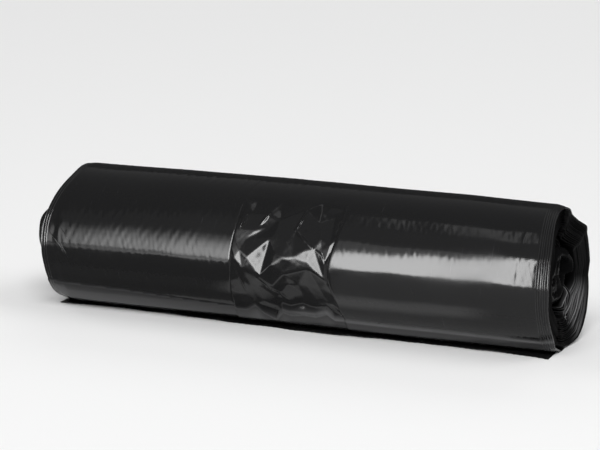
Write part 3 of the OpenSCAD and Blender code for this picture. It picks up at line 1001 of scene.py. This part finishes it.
def film_surface_group():
    """Node group for the film's surface. Height adds up streaks drawn out along the roll, soft dents,
    grain and hair scratches, all of them stretched noise. Haze is a mask of rubbed patches, and Scuff
    the scratches that lie in those patches."""
    group = bpy.data.node_groups.new("Film surface", "ShaderNodeTree")
    face = group.interface
    face.new_socket("Vector", in_out="INPUT", socket_type="NodeSocketVector")
    face.new_socket("Grain", in_out="INPUT", socket_type="NodeSocketFloat")
    face.new_socket("Height", in_out="OUTPUT", socket_type="NodeSocketFloat")
    face.new_socket("Haze", in_out="OUTPUT", socket_type="NodeSocketFloat")
    face.new_socket("Scuff", in_out="OUTPUT", socket_type="NodeSocketFloat")
    inp, out = node(group, "NodeGroupInput"), node(group, "NodeGroupOutput")
    link = group.links.new

    def stretched(scale, noise_scale, detail, rough=0.5):
        """Noise over Object coordinates that are scaled first, so that it is drawn out where they
        shrink."""
        mapping = node(group, "ShaderNodeMapping")
        mapping.inputs["Scale"].default_value = scale
        link(inp.outputs["Vector"], mapping.inputs["Vector"])
        noise = node(group, "ShaderNodeTexNoise")
        noise.inputs["Scale"].default_value = noise_scale
        noise.inputs["Detail"].default_value = detail
        noise.inputs["Roughness"].default_value = rough
        link(mapping.outputs["Vector"], noise.inputs["Vector"])
        return noise.outputs["Fac"]

    def times(a, b):
        """a times b, which is a number or another node's output."""
        product = node(group, "ShaderNodeMath", operation="MULTIPLY")
        link(a, product.inputs[0])
        if isinstance(b, float):
            product.inputs[1].default_value = b
        else:
            link(b, product.inputs[1])
        return product.outputs[0]

    def plus(a, b):
        """The sum of two nodes' outputs."""
        total = node(group, "ShaderNodeMath", operation="ADD")
        link(a, total.inputs[0])
        link(b, total.inputs[1])
        return total.outputs[0]

    def ramp(value, low, high):
        """0 up to low, 1 from high on, and straight in between."""
        r = node(group, "ShaderNodeMapRange", clamp=True)
        r.inputs["From Min"].default_value = low
        r.inputs["From Max"].default_value = high
        link(value, r.inputs["Value"])
        return r.outputs["Result"]

    streaks = stretched((0.16, 1.0, 1.0), 420.0, 3.0)
    dents = stretched((0.7, 1.0, 1.0), 70.0, 2.0)
    grain = stretched((1.0, 1.0, 1.0), 1500.0, 2.0)
    patches = stretched((0.5, 1.0, 1.0), 26.0, 5.0, 0.6)
    cross = stretched((3.0, 0.25, 0.25), 240.0, 2.0)
    hair = ramp(cross, 0.69, 0.74)
    rub = ramp(patches, 0.5, 0.72)
    scratch = times(hair, rub)
    height = plus(times(streaks, 0.35), dents)
    height = plus(height, times(grain, inp.outputs["Grain"]))
    height = plus(height, times(scratch, 0.25))
    link(height, out.inputs["Height"])
    link(rub, out.inputs["Haze"])
    link(scratch, out.inputs["Scuff"])
    return group


def film_material(name, group, grain, bump, rougher=0.0, specular=0.26, shade_tone=1.0):
    """Glossy black film. Its colour times tone, which darkens it as painted shade where tone is below 1,
    is mixed with the scuff colour by the scuffs and with the colour of the painted sheen by the
    attribute pale, which paints reflection and highlights. Its roughness is raised by rougher, and by
    the haze in patches. grain and bump set how strong the film's surface is, and specular how much it
    mirrors."""
    look = bpy.context.scene.film_look
    mat = bpy.data.materials.new(name)
    mat.use_nodes = True
    tree = mat.node_tree
    tree.nodes.clear()
    link = tree.links.new
    coords = node(tree, "ShaderNodeTexCoord")
    surface = node(tree, "ShaderNodeGroup", node_tree=group)
    surface.inputs["Grain"].default_value = grain
    link(coords.outputs["Object"], surface.inputs["Vector"])
    rough = node(tree, "ShaderNodeMapRange")
    rough.inputs["To Min"].default_value = look.shine + rougher
    rough.inputs["To Max"].default_value = look.shine + rougher + look.haze
    link(surface.outputs["Haze"], rough.inputs["Value"])
    colour = node(tree, "ShaderNodeMix", data_type="RGBA")
    colour.inputs["A"].default_value = (*(shade_tone * level for level in look.colour), 1)
    colour.inputs["B"].default_value = (*look.dust_colour, 1)
    link(surface.outputs["Scuff"], colour.inputs["Factor"])
    pale = node(tree, "ShaderNodeAttribute", attribute_name="pale")
    sheened = node(tree, "ShaderNodeMix", data_type="RGBA")
    sheened.inputs["B"].default_value = (*look.painted_sheen_colour, 1)
    link(pale.outputs["Fac"], sheened.inputs["Factor"])
    link(colour.outputs["Result"], sheened.inputs["A"])
    bumps = node(tree, "ShaderNodeBump")
    bumps.inputs["Strength"].default_value = 1.0
    bumps.inputs["Distance"].default_value = bump
    link(surface.outputs["Height"], bumps.inputs["Height"])
    shader = node(tree, "ShaderNodeBsdfPrincipled")
    shader.inputs["IOR"].default_value = 1.5
    shader.inputs["Specular IOR Level"].default_value = specular
    link(sheened.outputs["Result"], shader.inputs["Base Color"])
    link(rough.outputs["Result"], shader.inputs["Roughness"])
    link(bumps.outputs["Normal"], shader.inputs["Normal"])
    out = node(tree, "ShaderNodeOutputMaterial")
    link(shader.outputs["BSDF"], out.inputs["Surface"])
    return mat


# The film on the firm halves, on the waist and the small creases, on the left turns and the open end,
# on the turns in the right end, and deep in that end, where little light reaches it: these last two are
# darker copies, with tone and specular turned down as painted shade. bump is in metres.
FILMS = {
    "film_firm": dict(grain=0.02, bump=0.00003),
    "film_loose": dict(grain=0.01, bump=0.00002),
    "film_edges": dict(grain=0.03, bump=0.00003, rougher=0.08),
    "film_stack": dict(grain=0.01, bump=0.00003, rougher=0.22, specular=0.03, shade_tone=0.3),
    "film_deep": dict(grain=0.01, bump=0.00002, rougher=0.08, specular=0.012, shade_tone=0.45),
}


def film(kind):
    """The film material of that kind, made on first use."""
    if kind in bpy.data.materials:
        return bpy.data.materials[kind]
    group = bpy.data.node_groups.get("Film surface") or film_surface_group()
    return film_material(kind, group, **FILMS[kind])


def matt_material(name, colour, roughness):
    """A plain matt material that mirrors nothing."""
    mat = bpy.data.materials.new(name)
    mat.use_nodes = True
    shader = mat.node_tree.nodes["Principled BSDF"]
    shader.inputs["Base Color"].default_value = (*colour, 1)
    shader.inputs["Roughness"].default_value = roughness
    shader.inputs["Specular IOR Level"].default_value = 0.0
    return mat


# The stage

def fade(data, ramps):
    """Fades an area light over its face. Each ramp holds the weights of the shares across and up the
    face, and two pairs of (weighted sum, level), with a smooth S from one level to the other. The ramps
    are multiplied. A light that faces up has its share across counted from the right."""
    data.use_nodes = True
    tree = data.node_tree
    geometry = node(tree, "ShaderNodeNewGeometry")
    strength = None
    for weights, low, high in ramps:
        share = node(tree, "ShaderNodeVectorMath", operation="DOT_PRODUCT")
        tree.links.new(geometry.outputs["Parametric"], share.inputs[0])
        share.inputs[1].default_value = (*weights, 0)
        level = node(tree, "ShaderNodeMapRange", clamp=True, interpolation_type="SMOOTHSTEP")
        level.inputs["From Min"].default_value = low[0]
        level.inputs["From Max"].default_value = high[0]
        level.inputs["To Min"].default_value = low[1]
        level.inputs["To Max"].default_value = high[1]
        tree.links.new(share.outputs["Value"], level.inputs["Value"])
        if strength is None:
            strength = level.outputs["Result"]
        else:
            both = node(tree, "ShaderNodeMath", operation="MULTIPLY")
            tree.links.new(strength, both.inputs[0])
            tree.links.new(level.outputs["Result"], both.inputs[1])
            strength = both.outputs[0]
    tree.links.new(strength, tree.nodes["Emission"].inputs["Strength"])


def area_light(name, place, target, size, level, ramps=()):
    """A rectangular light that faces the target and isn't seen by the camera. Its power is the level, a
    radiance, times its area and pi, and ramps fade it."""
    data = bpy.data.lights.new(name, "AREA")
    data.shape = "RECTANGLE"
    data.size, data.size_y = size
    data.energy = level * size[0] * size[1] * math.pi
    light = bpy.data.objects.new(name, data)
    light.location = place
    light.rotation_euler = (Vector(target) - Vector(place)).to_track_quat("-Z", "Y").to_euler()
    bpy.context.scene.collection.objects.link(light)
    light.visible_camera = False
    if ramps:
        fade(data, ramps)
    return light


# The photograph's view, in millimetres from the middle of the web, and the lens
CAMERA_PLACE = (701.90, -1775.29, 533.2)
CAMERA_TARGET = (-10.545, 0, 64.06)
LENS = 178.015


def camera(s):
    """The photograph's view: from the right of the front and above, with a long lens."""
    data = bpy.data.cameras.new("camera")
    data.lens = LENS
    data.sensor_width = 36
    data.clip_end = 50
    cam = bpy.data.objects.new("camera", data)
    shift = Vector((s["shift"], 0, 0))
    place = (Vector(CAMERA_PLACE) + shift) * MM
    target = (Vector(CAMERA_TARGET) + shift) * MM
    cam.location = place
    cam.rotation_euler = (target - place).to_track_quat("-Z", "Y").to_euler()
    bpy.context.scene.collection.objects.link(cam)
    bpy.context.scene.camera = cam


def floor():
    """A wide disc at the height that the roll lies on: rings of quads round a fan of triangles."""
    radii = np.array([0.02, 0.4, 1.5, 4.0, 12.0])[:, None]
    rings, steps = len(radii), 96
    a = around_roll(steps)
    points = np.stack([radii * np.cos(a), radii * np.sin(a), np.zeros((rings, steps))], -1)
    index = np.arange(rings * steps).reshape(rings, steps)
    near, far = index[:-1], index[1:]
    quads = np.stack([near, far, np.roll(far, -1, 1), np.roll(near, -1, 1)], -1).reshape(-1, 4)
    verts = np.vstack([points.reshape(-1, 3), (0, 0, 0)])
    fans = np.stack([np.full(steps, len(verts) - 1), index[0], np.roll(index[0], -1)], -1)
    mesh = bpy.data.meshes.new("floor")
    mesh.from_pydata(verts.tolist(), [], quads.tolist() + fans.tolist())
    piece = bpy.data.objects.new("floor", mesh)
    bpy.context.scene.collection.objects.link(piece)
    colour = bpy.context.scene.studio_look.floor_colour
    piece.data.materials.append(matt_material("pale_floor", colour, 0.9))


def card(name, corners, shade):
    """A flat grey card that only the film mirrors, as a photographer puts one up to darken a
    reflection."""
    mesh = bpy.data.meshes.new(name)
    mesh.from_pydata(corners, [], [(0, 1, 2, 3)])
    piece = bpy.data.objects.new(name, mesh)
    bpy.context.scene.collection.objects.link(piece)
    piece.data.materials.append(matt_material(name, (shade, shade, shade), 1.0))
    piece.visible_camera = piece.visible_diffuse = piece.visible_shadow = False


# Wide soft lights that the film doesn't mirror: name, place, target, size, level. In metres.
SOFT_LIGHTS = (
    ("floor_light_right", (3.3, 0.75, 3.9), (0.1, 0.1, 0), (3.3, 2.7), 2.4),
    ("floor_light_left", (-4.2, 0.45, 3.3), (-0.1, 0.1, 0), (2.7, 2.4), 1.9),
    ("floor_light_back", (-0.8, 3.4, 2.4), (-0.8, 2.2, 0), (3.6, 1.6), 1.6),
    ("floor_light_front", (0.6, -2.6, 3.4), (0, 0.1, 0), (3.2, 2.6), 5.4),
)
# Grey cards on the floor in front of the roll's left part, and upright behind it: name, corners, shade
CARDS = (
    ("front_card",
     ((-0.7, -0.75, 0.0006), (-0.16, -0.75, 0.0006), (0.03, -0.036, 0.0006), (-0.7, -0.036, 0.0006)),
     0.28),
    ("back_card", ((-0.55, 0.2, 0.0), (0.3, 0.2, 0.0), (0.3, 0.2, 0.22), (-0.55, 0.2, 0.22)), 0.05),
)
# Lights that only the film mirrors: a streak over the top, a haze over the front, the two parts of the
# bright panel in front, its foot on the floor, and the strip of floor beside the roll. They hold name,
# place, target, size, level and ramps.
MIRRORED_LIGHTS = (
    ("overhead", (-0.305, -0.45, 1.5), (-0.305, -0.45, 0), (0.13, 0.50), 1.5, ()),
    ("front_haze", (-0.22, -0.62, 1.1), (-0.22, 0, 1.1), (0.62, 1.4), 0.20,
     (((0.0, 1.0), (0.4, 1.0), (1.0, 0.1)),)),
    ("front_panel_right", (-0.085, -0.62, 0.255), (-0.085, 0, 0.255), (0.25, 0.50), 22.0,
     (((-0.94, 1.0), (0.16, 1.0), (0.42, 0.05)), ((0.5, 1.0), (0.0, 0.3), (0.15, 1.0)))),
    ("front_panel_left", (-0.345, -0.62, 0.205), (-0.345, 0, 0.205), (0.27, 0.40), 10.5,
     (((0.0, 1.0), (0.2, 1.0), (1.0, 0.05)), ((0.0, 1.0), (0.0, 0.6), (0.1, 1.0)),
      ((1.0, 0.0), (0.15, 0.4), (0.75, 1.0)))),
    ("panel_foot", (-0.235, -0.455, 0.002), (-0.235, -0.455, 1), (0.30, 0.33), 6.0,
     (((1.0, 0.0), (0.0, 1.0), (0.9, 0.3)),)),
    ("floor_glow", (-0.0235, -0.060, 0.001), (-0.0235, -0.060, 1), (0.333, 0.027), 1.05,
     (((1.0, 0.0), (0.54, 1.0), (0.62, 0.06)), ((1.0, 0.0), (0.0, 0.0), (0.1, 1.0)),
      ((0.0, 1.0), (0.0, 0.2), (0.35, 1.0)), ((0.0, 1.0), (0.65, 1.0), (1.0, 0.2)))),
)


def lights():
    """Dim light all round, wide soft lights for the floor and the roll, the cards, and the lights in
    front and above that only the film mirrors."""
    world = bpy.data.worlds.new("studio")
    bpy.context.scene.world = world
    world.use_nodes = True
    background = world.node_tree.nodes["Background"]
    background.inputs["Color"].default_value = (1, 1, 1, 1)
    background.inputs["Strength"].default_value = bpy.context.scene.studio_look.ambient
    for light in SOFT_LIGHTS:
        area_light(*light).visible_glossy = False
    for name, corners, shade in CARDS:
        card(name, corners, shade)
    for light in MIRRORED_LIGHTS:
        area_light(*light).visible_diffuse = False


# Operators

class RollOperator:
    """What the operators share: each can be undone."""
    bl_options = {"REGISTER", "UNDO"}


class ROLL_OT_firm_halves(RollOperator, bpy.types.Operator):
    """Make the two firm halves of the roll"""
    bl_idname = "bag_roll.firm_halves"
    bl_label = "Firm halves"

    def execute(self, context):
        s = sizes()
        for name, side in (("left_half", -1), ("right_half", 1)):
            points, row_glint = firm_half(s, side)
            half = grid_piece(name, points)
            paint_sheen(half, s, row_glint)
            dress(half, film("film_firm"))
        for number, run in enumerate(CREASES, 1):
            dress(grid_piece(f"crease_{number}", crease_line(s, run)), film("film_loose"))
        return {"FINISHED"}


class ROLL_OT_waist(RollOperator, bpy.types.Operator):
    """Make the loose crumpled film between the halves"""
    bl_idname = "bag_roll.waist"
    bl_label = "Crumpled waist"

    def execute(self, context):
        s = sizes()
        waist = grid_piece("crumpled_waist", waist_film(s))
        paint_sheen(waist, s)
        dress(waist, film("film_loose"))
        return {"FINISHED"}


class ROLL_OT_turns(RollOperator, bpy.types.Operator):
    """Make the turns that show at both ends, and the gathered film inside the right one"""
    bl_idname = "bag_roll.turns"
    bl_label = "Turns at the ends"

    def execute(self, context):
        s = sizes()
        for name, points in (("right_turns", right_ring(s)), ("sprung_turns", fan_turns(s))):
            turns = grid_piece(name, points)
            paint_edge_glints(turns, s)
            dress(turns, film("film_stack"))
        dress(grid_piece("left_turns", left_turns(s)), film("film_edges"))
        dress(grid_piece("gathered_core", bundle(s)), film("film_deep"))
        for name, place, size, seed in WADS:
            points, ridge = crumpled_wad(s, place, size, seed)
            wad = grid_piece(name, points)
            # The wads' sharp folds get a painted highlight in the attribute pale.
            write_painted_light(wad, np.append(0.7 * ridge.ravel(), (0, 0)))
            dress(wad, film("film_deep"))
        return {"FINISHED"}


class ROLL_OT_tail(RollOperator, bpy.types.Operator):
    """Make the open end of the last bag, which lies on the floor"""
    bl_idname = "bag_roll.tail"
    bl_label = "Open end"

    def execute(self, context):
        dress(grid_piece("tail_end", tail_film(sizes())), film("film_edges"))
        return {"FINISHED"}


class ROLL_OT_stage(RollOperator, bpy.types.Operator):
    """Make the floor, the lights and the camera"""
    bl_idname = "bag_roll.stage"
    bl_label = "Stage"

    def execute(self, context):
        context.scene.view_settings.view_transform = "Standard"
        camera(sizes())
        floor()
        lights()
        return {"FINISHED"}


class ROLL_PT_panel(bpy.types.Panel):
    """Sizes, colours and steps of the bag roll"""
    bl_label = "Bag roll"
    bl_idname = "ROLL_PT_panel"
    bl_space_type = "VIEW_3D"
    bl_region_type = "UI"
    bl_category = "Bag roll"

    def draw(self, context):
        for group in (context.scene.roll_sizes, context.scene.film_look, context.scene.studio_look):
            column = self.layout.column()
            for name in group.__annotations__:
                column.prop(group, name)
        for step in STEPS:
            self.layout.operator(step.bl_idname)


GROUPS = {"roll_sizes": RollSizes, "film_look": FilmLook, "studio_look": StudioLook}
STEPS = (ROLL_OT_stage, ROLL_OT_firm_halves, ROLL_OT_waist, ROLL_OT_turns, ROLL_OT_tail)


def register():
    """Registers the groups of sizes and looks, the operators and the panel."""
    for group in GROUPS.values():
        bpy.utils.register_class(group)
    for name, group in GROUPS.items():
        setattr(bpy.types.Scene, name, PointerProperty(type=group))
    for step in STEPS:
        bpy.utils.register_class(step)
    bpy.utils.register_class(ROLL_PT_panel)


def unregister():
    """Takes back all that register did."""
    bpy.utils.unregister_class(ROLL_PT_panel)
    for step in reversed(STEPS):
        bpy.utils.unregister_class(step)
    for name, group in GROUPS.items():
        delattr(bpy.types.Scene, name)
        bpy.utils.unregister_class(group)


def main():
    """Makes the stage and every piece."""
    register()
    bpy.ops.bag_roll.stage()
    bpy.ops.bag_roll.firm_halves()
    bpy.ops.bag_roll.waist()
    bpy.ops.bag_roll.turns()
    bpy.ops.bag_roll.tail()


if __name__ == "__main__":
    main()
